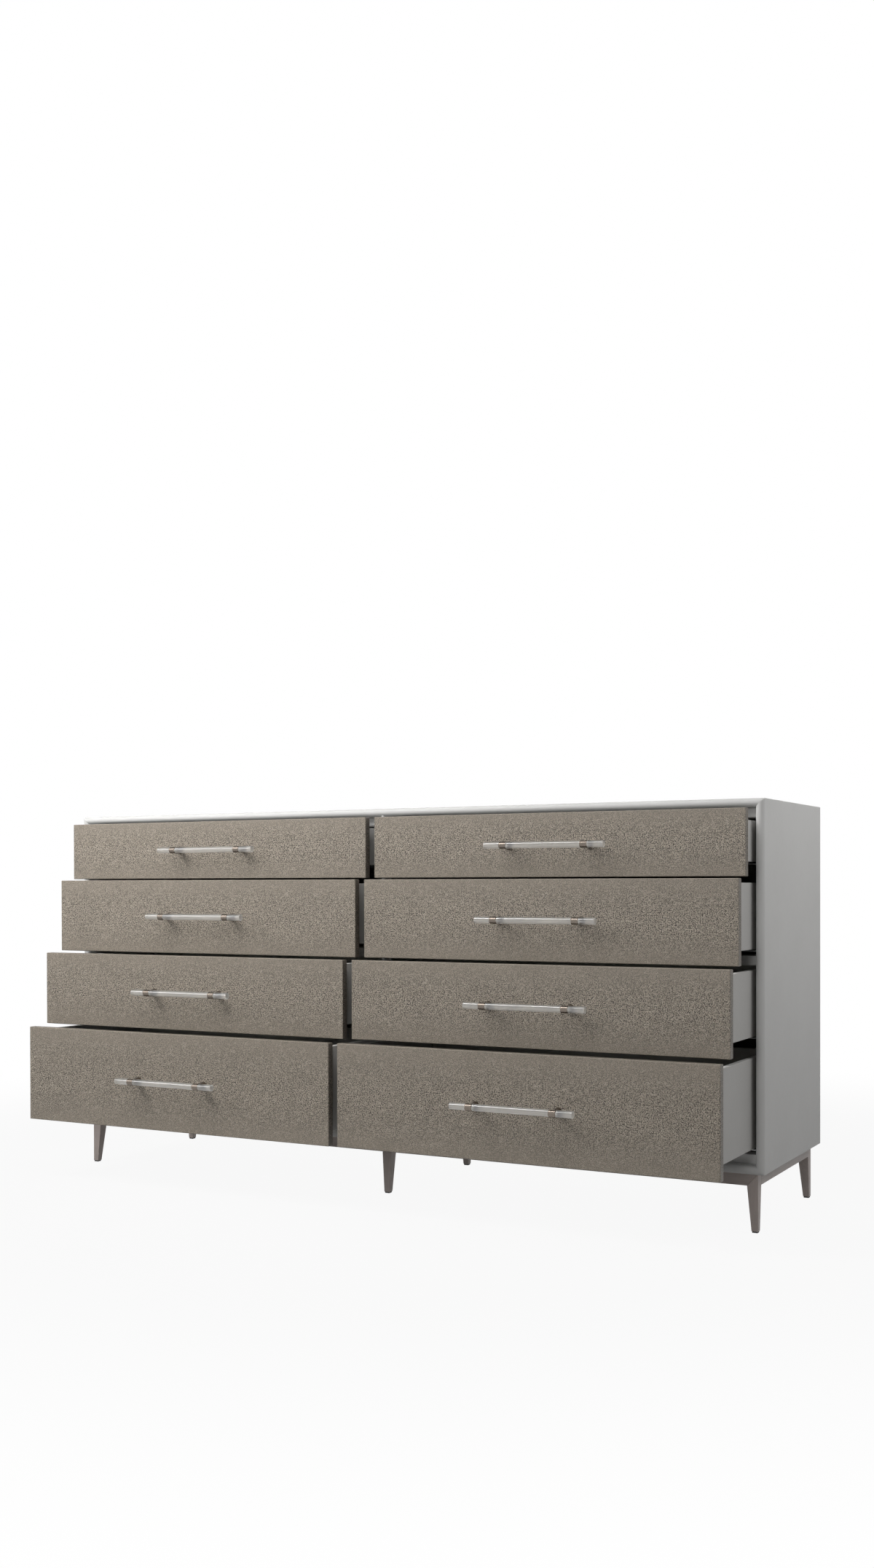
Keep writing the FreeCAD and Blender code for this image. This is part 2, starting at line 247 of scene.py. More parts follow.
def node(tree, kind, inputs=None, **options):
    """A node with its options, and with its inputs set or linked."""
    made = tree.nodes.new(kind)
    for option, value in options.items():
        setattr(made, option, value)
    for socket, value in (inputs or {}).items():
        if isinstance(value, bpy.types.NodeSocket):
            tree.links.new(value, made.inputs[socket])
        else:
            made.inputs[socket].default_value = value
    return made


def maths(tree, operation, *values):
    """The result of a Math node."""
    return node(tree, "ShaderNodeMath", dict(enumerate(values)), operation=operation).outputs[0]


def spread(tree, value, low, high, to_low=0.0, to_high=1.0):
    """A value taken smoothly from one range to another."""
    ends = {"Value": value, "From Min": low, "From Max": high, "To Min": to_low, "To Max": to_high}
    return node(tree, "ShaderNodeMapRange", ends, interpolation_type="SMOOTHSTEP").outputs[0]


def between(tree, factor, low, high):
    """A value between two others."""
    return node(tree, "ShaderNodeMix", {0: factor, 2: low, 3: high}, data_type="FLOAT").outputs[0]


def tint(tree, factor, low, high):
    """A colour between two others."""
    return node(tree, "ShaderNodeMix", {0: factor, 6: low, 7: high}, data_type="RGBA").outputs[2]


def stretched(tree, vector, factors):
    """A vector multiplied axis by axis."""
    return node(tree, "ShaderNodeVectorMath", {0: vector, 1: factors}, operation="MULTIPLY").outputs[0]


def opaque(rgb, scale=1.0):
    """A colour with its alpha, made lighter or darker."""
    return (rgb[0] * scale, rgb[1] * scale, rgb[2] * scale, 1.0)


def new_group(name, inputs, outputs):
    """An empty shader group with its sockets."""
    tree = bpy.data.node_groups.new(name, "ShaderNodeTree")
    for label, kind, default in inputs:
        socket = tree.interface.new_socket(label, in_out="INPUT", socket_type=kind)
        socket.default_value = default
    for label in outputs:
        tree.interface.new_socket(label, in_out="OUTPUT", socket_type="NodeSocketFloat")
    source = tree.nodes.new("NodeGroupInput").outputs
    result = tree.nodes.new("NodeGroupOutput").inputs
    return tree, source, result


def mottle_group():
    """Soft cloudy patches, from none to all."""
    tree, source, result = new_group("soft_mottle", [("Vector", "NodeSocketVector", (0, 0, 0)),
                                                     ("Size", "NodeSocketFloat", 0.01)], ["Patches"])
    scale = maths(tree, "DIVIDE", 1.0, source["Size"])
    noise = node(tree, "ShaderNodeTexNoise", {"Vector": source["Vector"], "Scale": scale, "Detail": 3.0,
                                              "Roughness": 0.55})
    bare, covered = 0.32, 0.68
    tree.links.new(spread(tree, noise.outputs[0], bare, covered), result["Patches"])
    return tree


def brush_group():
    """Fine lines along the axis whose factor is smallest."""
    inputs = [("Vector", "NodeSocketVector", (0, 0, 0)), ("Lines per metre", "NodeSocketVector", (1, 1, 1))]
    tree, source, result = new_group("brush_lines", inputs, ["Lines"])
    vector = stretched(tree, source["Vector"], source["Lines per metre"])
    noise = node(tree, "ShaderNodeTexNoise", {"Vector": vector, "Scale": 1.0, "Detail": 4.0,
                                              "Roughness": 0.65})
    groove, ridge = 0.3, 0.7
    tree.links.new(spread(tree, noise.outputs[0], groove, ridge), result["Lines"])
    return tree


def dome(tree, square, steepness):
    """The height of a round bead from the square of the distance to its middle."""
    height = maths(tree, "SUBTRACT", 1.0, maths(tree, "MULTIPLY", square, steepness))
    return maths(tree, "MAXIMUM", height, 0.0)


def pebble_group():
    """Round beads on a flat pattern: their height, and a random value for each."""
    tree, source, result = new_group("pebbles", [("Vector", "NodeSocketVector", (0, 0, 0)),
                                                 ("Pitch", "NodeSocketFloat", 0.002)], ["Height", "Chance"])
    steepness = 2.4
    least_share, most_share = 0.7, 1.0
    scale = maths(tree, "DIVIDE", 1.0, source["Pitch"])
    pattern = {"Vector": source["Vector"], "Scale": scale, "Randomness": 0.65}
    cells = node(tree, "ShaderNodeTexVoronoi", pattern, voronoi_dimensions="2D", feature="F1")
    square = maths(tree, "POWER", cells.outputs["Distance"], 2.0)
    chance = node(tree, "ShaderNodeSeparateColor", {0: cells.outputs["Color"]}).outputs[0]
    size = between(tree, chance, least_share, most_share)
    tree.links.new(maths(tree, "MULTIPLY", dome(tree, square, steepness), size), result["Height"])
    tree.links.new(chance, result["Chance"])
    return tree


GROUPS = {"soft_mottle": mottle_group, "brush_lines": brush_group, "pebbles": pebble_group}


def effect(tree, name, inputs):
    """A shared effect placed in a material with its own values."""
    shared = bpy.data.node_groups.get(name) or GROUPS[name]()
    return node(tree, "ShaderNodeGroup", inputs, node_tree=shared).outputs


def mottle(tree, spot, size):
    """Soft patches of a given size, from none to all."""
    return effect(tree, "soft_mottle", {"Vector": spot, "Size": size})["Patches"]


# Finishes

def new_finish(name, **inputs):
    """A material with one Principled shader and its plain values."""
    made = bpy.data.materials.new(name)
    made.use_nodes = True
    tree = made.node_tree
    shader = tree.nodes["Principled BSDF"]
    for socket, value in inputs.items():
        shader.inputs[socket.replace("_", " ")].default_value = value
    return made, tree, shader.inputs


def object_place(tree):
    """The place of a point on its piece, in metres."""
    return node(tree, "ShaderNodeTexCoord").outputs["Object"]


def add_relief(tree, height, depth):
    """A normal from a height between none and all, at its real depth."""
    return node(tree, "ShaderNodeBump", {"Height": height, "Distance": depth, "Strength": 1.0}).outputs[0]


def satin(name, rgb):
    """Satin lacquer with a soft ripple and a little cloud in its colour."""
    grain = settings().grain
    dark, light = opaque(rgb, 0.985), opaque(rgb, 1.015)
    smooth, rough = 0.5, 0.58
    made, tree, shader = new_finish(name, Specular_IOR_Level=0.32)
    spot = object_place(tree)
    cloud = mottle(tree, spot, grain.lacquer_cloud)
    ripple = mottle(tree, spot, grain.lacquer_ripple)
    tree.links.new(tint(tree, cloud, dark, light), shader["Base Color"])
    tree.links.new(between(tree, ripple, smooth, rough), shader["Roughness"])
    tree.links.new(add_relief(tree, ripple, grain.lacquer_relief), shader["Normal"])
    return made


def lacquer(name):
    """Silver-grey lacquer of the case."""
    return satin(name, settings().colours.lacquer)


def box_lacquer(name):
    """Darker and warmer grey lacquer of the drawer boxes."""
    return satin(name, settings().colours.box)


def back_paint(name):
    """Thin paint on a pressed board, with its fibres showing."""
    grain, rgb = settings().grain, settings().colours.back
    dark, light, bare = opaque(rgb, 0.97), opaque(rgb, 1.03), opaque(rgb, 1.2)
    fibre_share = 0.25
    smooth, rough = 0.55, 0.72
    made, tree, shader = new_finish(name, Specular_IOR_Level=0.3)
    spot = object_place(tree)
    cloud = mottle(tree, spot, grain.paint_cloud)
    fibre = mottle(tree, spot, grain.paint_fibre)
    worn = tint(tree, cloud, dark, light)
    shown = maths(tree, "MULTIPLY", fibre, fibre_share)
    tree.links.new(tint(tree, shown, worn, bare), shader["Base Color"])
    tree.links.new(between(tree, fibre, smooth, rough), shader["Roughness"])
    tree.links.new(add_relief(tree, fibre, grain.paint_relief), shader["Normal"])
    return made


def pearl_row(tree, spot, grain):
    """A row of round pearls along the middle line of a front: their height."""
    bends_per_metre, steepness = 60.0, 4.5
    bends = {"Vector": spot, "Scale": bends_per_metre, "Detail": 1.0}
    wander = node(tree, "ShaderNodeTexNoise", bends).outputs[1]
    reach = (grain.pearl_wander, grain.pearl_sway, 0.0)
    moved = node(tree, "ShaderNodeVectorMath", {0: wander, 1: reach, 2: spot}, operation="MULTIPLY_ADD")
    cells = stretched(tree, moved.outputs[0], (1 / grain.pearl, 1 / grain.pearl, 0.0))
    axes = node(tree, "ShaderNodeSeparateXYZ", {0: cells}).outputs
    along = maths(tree, "SUBTRACT", maths(tree, "FRACT", axes[0]), 0.5)
    across = maths(tree, "SUBTRACT", axes[1], 0.5 * grain.pearl_sway / grain.pearl)
    square = maths(tree, "ADD", maths(tree, "POWER", along, 2.0), maths(tree, "POWER", across, 2.0))
    return dome(tree, square, steepness)


def pebbled_cover(name):
    """Pebble-grained cover: beads that grow towards a row of pearls along the middle of each front."""
    grain, rgb = settings().grain, settings().colours
    ragged_share, worn_share, valley_share = 0.25, 0.35, 0.47
    chance_share, bead_share, pearl_scale = 0.3, 0.75, 1.05
    cloud_share, patch_share, least_share = 0.07, 0.11, 0.91
    grown, pearled, sharpened = (0.6, 0.95), (0.7, 0.95), (0.05, 0.8)
    polished, turned, edge_share = (0.1, 0.9), (0.03, 0.12), 0.55
    rough, smooth = 0.56, 0.4
    made, tree, shader = new_finish(name, Specular_IOR_Level=0.45)
    spot = node(tree, "ShaderNodeUVMap", uv_map="cover").outputs[0]
    height_share = node(tree, "ShaderNodeAttribute", attribute_name="height_share").outputs["Fac"]
    depth_share = node(tree, "ShaderNodeAttribute", attribute_name="depth_share").outputs["Fac"]
    patches = mottle(tree, spot, grain.patch)
    clouds = mottle(tree, spot, grain.cloud)
    closeness = maths(tree, "SUBTRACT", 1.0, maths(tree, "ABSOLUTE", height_share))
    uneven = maths(tree, "ADD", closeness, maths(tree, "MULTIPLY", patches, ragged_share))
    small = effect(tree, "pebbles", {"Vector": spot, "Pitch": grain.bead})
    large = effect(tree, "pebbles", {"Vector": spot, "Pitch": grain.large_bead})
    beads = between(tree, spread(tree, uneven, *grown), small["Height"], large["Height"])
    along = mottle(tree, stretched(tree, spot, (1, 0, 0)), grain.pearl_stretch)
    pearls = maths(tree, "MULTIPLY", pearl_row(tree, spot, grain), spread(tree, along, *pearled))
    height = maths(tree, "MAXIMUM", beads, maths(tree, "MULTIPLY", pearls, pearl_scale))
    clear = spread(tree, uneven, *sharpened, worn_share, 1.0)
    raised = maths(tree, "MULTIPLY", height, bead_share)
    crowns = maths(tree, "MULTIPLY_ADD", small["Chance"], chance_share, raised)
    # Crowns painted lighter and valleys darker: partly the cover's own pearly tops and dye, partly painted
    # highlight and painted shade
    dye_and_painted_light = tint(tree, spread(tree, crowns, *polished), opaque(rgb.valley), opaque(rgb.crown))
    plain = [valley_share * low + (1 - valley_share) * high for low, high in zip(rgb.valley, rgb.crown)]
    even = tint(tree, clear, opaque(plain), dye_and_painted_light)
    patched = maths(tree, "MULTIPLY_ADD", patches, patch_share, least_share)
    shade = maths(tree, "MULTIPLY_ADD", clouds, cloud_share, patched)
    shaded = maths(tree, "MULTIPLY", shade, spread(tree, depth_share, *turned, 1.0, edge_share))
    toned = node(tree, "ShaderNodeVectorMath", {0: even, "Scale": shaded}, operation="SCALE").outputs[0]
    tree.links.new(toned, shader["Base Color"])
    tree.links.new(between(tree, height, rough, smooth), shader["Roughness"])
    relief = maths(tree, "MULTIPLY", height, clear)
    tree.links.new(add_relief(tree, relief, grain.bead_relief), shader["Normal"])
    return made


def clear_rod(name):
    """Clear rod with faint handling marks. Its low index keeps what is behind it clear."""
    rgb = settings().colours
    # A little mist on the rod keeps small renders of it free of dots
    smooth, rough = 0.276, 0.286
    made, tree, shader = new_finish(name, IOR=1.16, Transmission_Weight=1.0, Coat_Weight=1.0, Coat_IOR=2.0,
                                    Coat_Roughness=0.12, Base_Color=opaque(rgb.acrylic))
    marks = mottle(tree, object_place(tree), settings().grain.rod_mark)
    tree.links.new(between(tree, marks, smooth, rough), shader["Roughness"])
    output = tree.nodes["Material Output"].inputs["Surface"]
    solid = tree.nodes["Principled BSDF"].outputs[0]
    passed = node(tree, "ShaderNodeBsdfTransparent", {"Color": opaque(rgb.rod_shade)}).outputs[0]
    lamps = node(tree, "ShaderNodeLightPath").outputs["Is Shadow Ray"]
    tree.links.new(node(tree, "ShaderNodeMixShader", {0: lamps, 1: solid, 2: passed}).outputs[0], output)
    return made


def brushed(name, rgb, fine_on_x, fine_elsewhere, metallic, rough):
    """Brushed metal, with the axes that its lines cross on faces that look along X and on the rest."""
    grain = settings().grain
    dark, light = opaque(rgb, 0.84), opaque(rgb, 1.14)
    cloud_share, line_share, rough_spread = 0.3, 0.7, 0.06
    turned = (0.6, 0.75)
    made, tree, shader = new_finish(name, Metallic=metallic, Specular_IOR_Level=0.3)
    spot = object_place(tree)
    facing = node(tree, "ShaderNodeSeparateXYZ", {0: node(tree, "ShaderNodeNewGeometry").outputs["Normal"]})
    looks_along_x = spread(tree, maths(tree, "ABSOLUTE", facing.outputs[0]), *turned)
    lines = []
    for fine in (fine_elsewhere, fine_on_x):
        counts = [1 / (grain.brush if axis in fine else grain.brush_run) for axis in "xyz"]
        lines.append(effect(tree, "brush_lines", {"Vector": spot, "Lines per metre": counts})["Lines"])
    brush = between(tree, looks_along_x, *lines)
    cloud = mottle(tree, spot, grain.metal_cloud)
    tone = maths(tree, "MULTIPLY_ADD", cloud, cloud_share, maths(tree, "MULTIPLY", brush, line_share))
    tree.links.new(tint(tree, tone, dark, light), shader["Base Color"])
    tree.links.new(between(tree, brush, rough + rough_spread, rough - rough_spread), shader["Roughness"])
    tree.links.new(add_relief(tree, brush, grain.brush_relief), shader["Normal"])
    return made


def rail_pewter(name):
    """Brown pewter brushed along the rails of the base."""
    return brushed(name, settings().colours.pewter, "xz", "yz", metallic=0.1, rough=0.45)


def leg_pewter_painted_lighter(name):
    """Brown pewter brushed up and down the legs, painted lighter than on the rails to stand in for the light
    that their upright brushing catches.
    """
    return brushed(name, settings().colours.leg_pewter_painted_lighter, "xy", "xy", metallic=0.1, rough=0.45)


def pull_nickel(name):
    """Warm nickel with fine turning lines round the barrels."""
    return brushed(name, settings().colours.nickel, "x", "x", metallic=1.0, rough=0.24)


def slide_zinc(name):
    """Zinc plating with its faint crystals."""
    grain, rgb = settings().grain, settings().colours.zinc
    dark, light = opaque(rgb, 0.88), opaque(rgb, 1.12)
    flakes_per_metre, flake_share, cloud_share = 260.0, 0.4, 0.6
    rough, smooth = 0.46, 0.34
    made, tree, shader = new_finish(name, Metallic=1.0)
    spot = object_place(tree)
    flakes = node(tree, "ShaderNodeTexVoronoi", {"Vector": spot, "Scale": flakes_per_metre})
    flake = node(tree, "ShaderNodeSeparateColor", {0: flakes.outputs["Color"]}).outputs[0]
    cloud = mottle(tree, spot, grain.zinc_cloud)
    tone = maths(tree, "MULTIPLY_ADD", flake, flake_share, maths(tree, "MULTIPLY", cloud, cloud_share))
    tree.links.new(tint(tree, tone, dark, light), shader["Base Color"])
    tree.links.new(between(tree, tone, rough, smooth), shader["Roughness"])
    return made


def glide_plastic(name):
    """Moulded black plastic with a fine texture."""
    grain, rgb = settings().grain, settings().colours.glide
    dark, light = opaque(rgb, 0.8), opaque(rgb, 1.3)
    smooth, rough = 0.5, 0.62
    made, tree, shader = new_finish(name, Specular_IOR_Level=0.4)
    texture = mottle(tree, object_place(tree), grain.plastic_texture)
    tree.links.new(tint(tree, texture, dark, light), shader["Base Color"])
    tree.links.new(between(tree, texture, smooth, rough), shader["Roughness"])
    tree.links.new(add_relief(tree, texture, grain.plastic_relief), shader["Normal"])
    return made


def finish(maker):
    """The material that a function makes, made once and named apart from the frame's own materials."""
    name = f"{maker.__name__}_finish"
    return bpy.data.materials.get(name) or maker(name)


# Shapes

def round_edges(bm, edges, radius, steps=EDGE_STEPS, clamp=False):
    """Rounds some edges of a mesh."""
    bmesh.ops.bevel(bm, geom=list(edges), offset=radius, affect="EDGES", segments=steps, profile=0.5,
                    material=-1, clamp_overlap=clamp)


def runs_along_top(edge, top):
    """Whether an edge runs along X at the top of a board."""
    first, second = (vert.co for vert in edge.verts)
    return min(first.z, second.z) > top - WELD and abs(first.x - second.x) > WELD


def add_block(bm, low, high, radius=0.0, top_only=False, steps=EDGE_STEPS):
    """A block between two corners, with all its edges, or only those along its top, rounded."""
    spot = Matrix.LocRotScale((low + high) / 2, None, high - low)
    corners = bmesh.ops.create_cube(bm, size=1.0, matrix=spot)["verts"]
    edges = {edge for corner in corners for edge in corner.link_edges}
    if top_only:
        edges = {edge for edge in edges if runs_along_top(edge, high.z)}
    if radius:
        round_edges(bm, edges, radius, steps, clamp=True)


def add_cylinder(bm, start, end, radius, rounding):
    """A closed cylinder along X with rounded rims."""
    turned = Matrix.Translation((start + end) / 2) @ Matrix.Rotation(math.pi / 2, 4, "Y")
    made = bmesh.ops.create_cone(bm, cap_ends=True, cap_tris=False, segments=ROUND_STEPS, radius1=radius,
                                 radius2=radius, depth=(end - start).length, matrix=turned)
    rims = {rim for vert in made["verts"] for rim in vert.link_edges if rim.calc_face_angle() > SHARP}
    round_edges(bm, rims, rounding)


def new_piece(bm, name, body, material, stands_for=()):
    """A mesh piece that rides on a body, with even shading over its rounded edges."""
    bmesh.ops.recalc_face_normals(bm, faces=bm.faces)
    mesh = bpy.data.meshes.new(name)
    bm.to_mesh(mesh)
    bm.free()
    mesh.shade_smooth()
    mesh.set_sharp_from_angle(angle=SHARP)
    mesh.materials.append(material)
    piece = bpy.data.objects.new(name, mesh)
    bpy.context.scene.collection.objects.link(piece)
    even = piece.modifiers.new("even_shading", "WEIGHTED_NORMAL")
    even.keep_sharp = True
    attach(piece, body)
    if stands_for:
        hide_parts(*stands_for)
    return piece


def dress_node(name, material, radius=0.0):
    """A node of the frame in its finish, with its edges rounded where a radius is given."""
    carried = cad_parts[name]
    for slot in carried.material_slots:
        slot.material = material
    if radius:
        weld = carried.modifiers.new("weld", "WELD")
        weld.merge_threshold = WELD
        flat = carried.modifiers.new("flat_faces", "DECIMATE")
        flat.decimate_type = "DISSOLVE"
        flat.angle_limit = FLAT
        soft = carried.modifiers.new("rounded_edges", "BEVEL")
        soft.width = radius
        soft.segments = NODE_EDGE_STEPS
        soft.limit_method = "ANGLE"
        soft.angle_limit = SHARP
        carried.modifiers.new("even_shading", "WEIGHTED_NORMAL")


def verts_of(made):
    """The vertices in an operator's result."""
    return [item for item in made if isinstance(item, bmesh.types.BMVert)]


def board_section(low, high, board):
    """A board's section with a half-round nose, leaning in the mitre of the upper right corner."""
    bm = bmesh.new()
    shoulder = Vector((high.x, low.y + board / 2, high.z))
    down = Vector((0, 0, board))
    outer = bm.verts.new(shoulder)
    nose = bmesh.ops.spin(bm, geom=[outer], cent=shoulder - down / 2, axis=(1, 0, 0), angle=math.pi,
                          steps=NOSE_STEPS)
    inner = verts_of(nose["geom_last"])[0]
    back_outer = bm.verts.new((high.x, high.y, high.z))
    back_inner = bm.verts.new(back_outer.co - down)
    for ends in ((outer, back_outer), (back_outer, back_inner), (back_inner, inner)):
        bm.edges.new(ends)
    lean = Matrix.Identity(4)
    lean[0][2] = 1.0
    bmesh.ops.transform(bm, matrix=lean, space=Matrix.Translation((0, 0, -high.z)), verts=bm.verts)
    return bm


def board_ring(low, high, board, rounding):
    """The four case boards in one ring: the section carried round the corners, its outer edges rounded."""
    bm = board_section(low, high, board)
    section = list(bm.edges)
    about_middle = Matrix.Translation(-(low + high) / 2)
    for flip in ((-1, 1, 1, 1), (1, 1, -1, 1)) * 2:
        made = bmesh.ops.extrude_edge_only(bm, edges=section)["geom"]
        moved = verts_of(made)
        bmesh.ops.transform(bm, matrix=Matrix.Diagonal(flip), space=about_middle, verts=moved)
        edges = [item for item in made if isinstance(item, bmesh.types.BMEdge)]
        section = [edge for edge in edges if set(edge.verts) <= set(moved)]
    bmesh.ops.remove_doubles(bm, verts=bm.verts, dist=WELD)
    bmesh.ops.recalc_face_normals(bm, faces=bm.faces)
    outer = [edge for edge in bm.edges if edge.calc_face_angle_signed() > CORNER]
    round_edges(bm, outer, rounding, BROAD_EDGE_STEPS)
    return bm


def cut_board(ring, low, high, towards):
    """One board of the ring, cut out at its two mitres."""
    bm = ring.copy()
    half = (high - low) / 2
    middle = (low + high) / 2
    across = Vector((abs(towards.z), 0, abs(towards.x)))
    mitres = [(middle + half * (towards + end), end - towards) for end in (across, -across)]
    for spot, away in [(middle, -towards)] + mitres:
        geom = list(bm.verts) + list(bm.edges) + list(bm.faces)
        bmesh.ops.bisect_plane(bm, geom=geom, dist=WELD, plane_co=spot, plane_no=away, clear_outer=True)
    bmesh.ops.holes_fill(bm, edges=[edge for edge in bm.edges if edge.is_boundary])
    return bm


class DRESSER_OT_case(bpy.types.Operator):
    """Make the four mitred boards of the case, with their half-round noses"""
    bl_idname = "dresser.case"
    bl_label = "Case Boards"

    def execute(self, context):
        sizes = settings().sizes
        boards = {"top_panel": (0, 0, 1), "bottom_panel": (0, 0, -1), "left_side_panel": (-1, 0, 0),
                  "right_side_panel": (1, 0, 0)}
        corners = [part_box(board) for board in boards]
        low = Vector([min(corner[0][axis] for corner in corners) for axis in range(3)])
        high = Vector([max(corner[1][axis] for corner in corners) for axis in range(3)])
        ring = board_ring(low, high, sizes.board, sizes.case_edge)
        for board, towards in boards.items():
            bm = cut_board(ring, low, high, Vector(towards))
            new_piece(bm, f"{board}_lacquered", "case", finish(lacquer), [board])
        ring.free()
        return {"FINISHED"}


class DRESSER_OT_inside(bpy.types.Operator):
    """Finish the divider, its stile, the front rails and the back"""
    bl_idname = "dresser.inside"
    bl_label = "Inner Boards"

    def execute(self, context):
        edge = settings().sizes.inner_edge
        dress_node("centre_divider", finish(lacquer), edge)
        dress_node("centre_stile", finish(lacquer))
        dress_node("front_rails", finish(lacquer), edge)
        dress_node("back_panel", finish(back_paint), edge)
        return {"FINISHED"}


class DRESSER_OT_base(bpy.types.Operator):
    """Finish the metal base and its glides"""
    bl_idname = "dresser.base"
    bl_label = "Metal Base"

    def execute(self, context):
        edge = settings().sizes.metal_edge
        # The rails stay sharp, because rounding would throw up spikes where their mitred ends meet
        dress_node("base_rails", finish(rail_pewter))
        dress_node("legs", finish(leg_pewter_painted_lighter), edge)
        dress_node("leg_glides", finish(glide_plastic), edge / 2)
        return {"FINISHED"}


class DRESSER_OT_slides(bpy.types.Operator):
    """Finish the three members of each concealed slide"""
    bl_idname = "dresser.slides"
    bl_label = "Slides"

    def execute(self, context):
        edge = settings().sizes.slide_edge
        parts = ("runners", "slide_middles")
        members = ["slide_cabinet_members"]
        members += [f"drawer_{drawer}_{part}" for drawer in DRAWERS for part in parts]
        for member in members:
            dress_node(member, finish(slide_zinc), edge)
        return {"FINISHED"}


def unfold_cover(bm, low, high, shift):
    """Lays the cover flat in metres, from the face round the edges, and marks its height and depth."""
    flat = bm.loops.layers.uv.new("cover")
    height_share = bm.verts.layers.float.new("height_share")
    depth_share = bm.verts.layers.float.new("depth_share")
    middle = (low + high) / 2
    for vert in bm.verts:
        vert[height_share] = (vert.co.z - middle.z) / (high.z - middle.z)
        vert[depth_share] = (vert.co.y - low.y) / (high.y - low.y)
    for face in bm.faces:
        for loop in face.loops:
            across, depth, up = loop.vert.co.x - middle.x, loop.vert.co.y - low.y, loop.vert.co.z - middle.z
            if abs(face.normal.z) > abs(face.normal.x):
                up += math.copysign(depth, up)
            else:
                across += math.copysign(depth, across)
            loop[flat].uv = (across + shift, up)


class DRESSER_OT_fronts(bpy.types.Operator):
    """Make the covered drawer fronts"""
    bl_idname = "dresser.fronts"
    bl_label = "Drawer Fronts"

    def execute(self, context):
        for number, drawer in enumerate(DRAWERS):
            body = f"drawer_{drawer}"
            front = f"{body}_front"
            low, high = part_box(front)
            bm = bmesh.new()
            add_block(bm, low, high, settings().sizes.cover_edge, steps=BROAD_EDGE_STEPS)
            bmesh.ops.recalc_face_normals(bm, faces=bm.faces)
            unfold_cover(bm, low, high, number * (high.x - low.x))
            new_piece(bm, f"{front}_covered", body, finish(pebbled_cover), [front])
        return {"FINISHED"}


class DRESSER_OT_boxes(bpy.types.Operator):
    """Make the drawer boxes from their boards"""
    bl_idname = "dresser.boxes"
    bl_label = "Drawer Boxes"

    def execute(self, context):
        sizes = settings().sizes
        for drawer in DRAWERS:
            body = f"drawer_{drawer}"
            box = f"{body}_box"
            low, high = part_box(box)
            inner = Vector((low.x + sizes.box_side, low.y + sizes.box_front, low.z + sizes.bottom_recess))
            far = Vector((high.x - sizes.box_side, high.y - sizes.box_back, inner.z + sizes.box_bottom))
            bm = bmesh.new()
            add_block(bm, low, Vector((inner.x, high.y, high.z)), sizes.box_edge)
            add_block(bm, Vector((far.x, low.y, low.z)), high, sizes.box_edge)
            for near, back in ((low.y, inner.y), (far.y, high.y)):
                corners = Vector((inner.x, near, low.z)), Vector((far.x, back, high.z))
                add_block(bm, *corners, sizes.box_edge, top_only=True)
            add_block(bm, inner, far)
            new_piece(bm, f"{box}_lacquered", body, finish(box_lacquer), [box])
        return {"FINISHED"}


def add_post(bm, axis_point, face, sizes):
    """A post turned from a rimmed foot on the drawer front to a slim neck under its barrel."""
    reach, rim = face - axis_point.y, sizes.foot_rim
    neck, foot = sizes.post_neck, sizes.post_foot
    outline = [(0.0, 0.0), (0.0, foot), (rim, foot)]
    for step in range(1, FLARE_STEPS + 1):
        far = step / FLARE_STEPS
        flare = (foot - neck) * sizes.flare_share * (1 - far) ** sizes.flare_curve
        outline.append((rim + far * (reach - rim), neck + flare))
    outline.append((reach, 0.0))
    verts = [bm.verts.new((axis_point.x + radius, face - out, axis_point.z)) for out, radius in outline]
    edges = [bm.edges.new(ends) for ends in zip(verts, verts[1:])]
    bmesh.ops.spin(bm, geom=verts + edges, cent=axis_point, axis=(0, 1, 0), angle=2 * math.pi,
                   steps=ROUND_STEPS, use_merge=True)


class DRESSER_OT_pulls(bpy.types.Operator):
    """Make the clear rods and the metal barrels and posts that hold them"""
    bl_idname = "dresser.pulls"
    bl_label = "Bar Pulls"

    def execute(self, context):
        sizes = settings().sizes
        for drawer in DRAWERS:
            body = f"drawer_{drawer}"
            rod, posts = f"{body}_pull_rod", f"{body}_pull_posts"
            rod_low, rod_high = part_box(rod)
            low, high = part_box(posts)
            centre = (rod_low + rod_high) / 2
            barrel_radius = (high.z - low.z) / 2
            half = Vector((sizes.barrel_length / 2, 0, 0))
            stop = half + Vector((sizes.rod_gap, 0, 0))
            along = (rod_low.x, low.x + half.x, high.x - half.x, rod_high.x)
            first, left, right, last = (Vector((x, centre.y, centre.z)) for x in along)
            metal = bmesh.new()
            for barrel in (left, right):
                add_cylinder(metal, barrel - half, barrel + half, barrel_radius, sizes.barrel_edge)
                add_post(metal, barrel, high.y, sizes)
            bmesh.ops.remove_doubles(metal, verts=metal.verts, dist=WELD)
            new_piece(metal, f"{posts}_turned", body, finish(pull_nickel), [posts])
            clear = bmesh.new()
            for start, end in ((first, left - stop), (left + stop, right - stop), (right + stop, last)):
                add_cylinder(clear, start, end, sizes.rod_radius, sizes.rod_edge)
            polished = new_piece(clear, f"{rod}_polished", body, finish(clear_rod), [rod])
            polished.visible_diffuse = False
        return {"FINISHED"}


